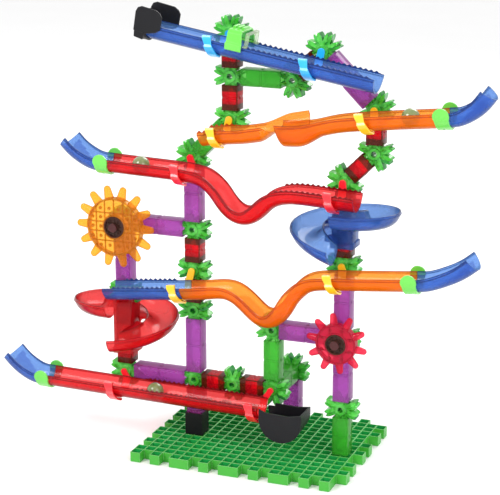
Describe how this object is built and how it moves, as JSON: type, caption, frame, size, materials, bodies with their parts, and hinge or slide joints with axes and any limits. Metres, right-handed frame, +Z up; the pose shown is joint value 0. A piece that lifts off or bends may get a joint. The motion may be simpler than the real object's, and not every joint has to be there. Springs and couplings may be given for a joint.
{
  "type": "marble run",
  "caption": "Tabletop marble run: square tubes and star connectors on a toothed plate carry half-pipe tracks, spirals, paddle wheels, an end stop and a catcher bucket.",
  "frame": {"origin": "centre of the base plate's underside", "axes": "+Z up, +X along the plate's long side to the right, +Y to the back, away from the tracks"},
  "size_m": [0.4627, 0.152, 0.411],
  "materials": {
    "base_green": "opaque green, smooth",
    "track_blue": "translucent blue",
    "marble_glass": "clear olive green glass",
    "star_green": "translucent green",
    "clear_red": "translucent red",
    "track_red": "translucent red",
    "black_plastic": "opaque black, satin",
    "lime_plastic": "opaque light green",
    "cyan_plastic": "opaque cyan",
    "hood_clear": "translucent pale",
    "clear_green": "translucent green",
    "clear_purple": "translucent purple",
    "track_orange": "translucent orange",
    "wheel_orange": "translucent orange",
    "hub_dark": "translucent dark brown",
    "red_plastic": "opaque red",
    "wheel_red": "translucent red",
    "pin_red": "dark red",
    "yellow_plastic": "opaque yellow"
  },
  "bodies": {
    "run_frame": {"base_plate": "base_green", "blue_spiral": "track_blue", "bottom_left_curve": "track_blue", "bottom_row_stars": "star_green", "bottom_short_tubes": "clear_red", "bottom_track": "track_red", "catcher_bucket": "black_plastic", "couplers": "lime_plastic", "cyan_clips": "cyan_plastic", "end_stop": "black_plastic", "front_foot_socket": "black_plastic", "gate_hood": "hood_clear", "gate_saddle": "lime_plastic", "left_brace_tube": "clear_green", "left_column_lower_tube": "clear_purple", "left_column_short_tubes": "clear_red", "left_column_stars": "star_green", "left_column_upper_tube": "clear_purple", "left_foot_tube": "clear_purple", "lower_left_track": "track_blue", "lower_right_curve": "track_blue", "middle_post_tube": "clear_green", "orange_wave_track": "track_orange", "outer_beam_lower_tube": "clear_purple", "outer_column_short_tubes": "clear_red", "outer_column_stars": "star_green", "outer_column_upper_tube": "clear_purple", "rear_beam_tube": "clear_green", "rear_foot_socket": "clear_green", "rear_leg_tube": "clear_purple", "red_clips": "red_plastic", "red_spiral": "track_red", "red_wave_track": "track_red", "right_column_lower_tube": "clear_purple", "right_column_short_tubes": "clear_red", "right_column_stars": "star_green", "right_column_upper_tube": "clear_purple", "right_foot_tube": "clear_green", "top_beam_tube": "clear_green", "top_brace_tube": "clear_purple", "top_bridge_stars": "star_green", "top_short_tubes": "clear_red", "top_track": "track_blue", "upper_left_curve": "track_blue", "upper_left_stars": "star_green", "upper_left_track": "track_orange", "upper_right_curve": "track_blue", "upper_right_track": "track_orange", "wheel_beam_right_tube": "clear_purple", "wheel_beam_tube": "clear_purple", "wheel_pins": "pin_red", "yellow_clips": "yellow_plastic"},
    "orange_paddle_wheel": {"orange_wheel": "wheel_orange", "orange_wheel_hub": "hub_dark"},
    "red_paddle_wheel": {"red_wheel": "wheel_red", "red_wheel_hub": "hub_dark"},
    "upper_right_ball": {"upper_right_marble": "marble_glass"},
    "upper_left_ball": {"upper_left_marble": "marble_glass"},
    "bottom_ball": {"bottom_marble": "marble_glass"}
  },
  "joints": [
    {"name": "orange_wheel_spin", "type": "hinge", "parent": "run_frame", "child": "orange_paddle_wheel", "pos_m": [-0.13205, -0.0288, 0.2056], "axis": [0, 1, 0], "continuous": true},
    {"name": "red_wheel_spin", "type": "hinge", "parent": "run_frame", "child": "red_paddle_wheel", "pos_m": [0.07985, -0.0288, 0.1194], "axis": [0, 1, 0], "continuous": true},
    {"name": "upper_right_marble_roll", "type": "slide", "parent": "run_frame", "child": "upper_right_ball", "axis": [0.9935, 0, 0.1135], "range_m": [-0.014, 0.012]},
    {"name": "upper_left_marble_roll", "type": "slide", "parent": "run_frame", "child": "upper_left_ball", "axis": [0.9994, 0, -0.0341], "range_m": [-0.01, 0.01]},
    {"name": "bottom_marble_roll", "type": "slide", "parent": "run_frame", "child": "bottom_ball", "axis": [0.9998, 0, -0.0187], "range_m": [-0.09, 0.09]}
  ]
}
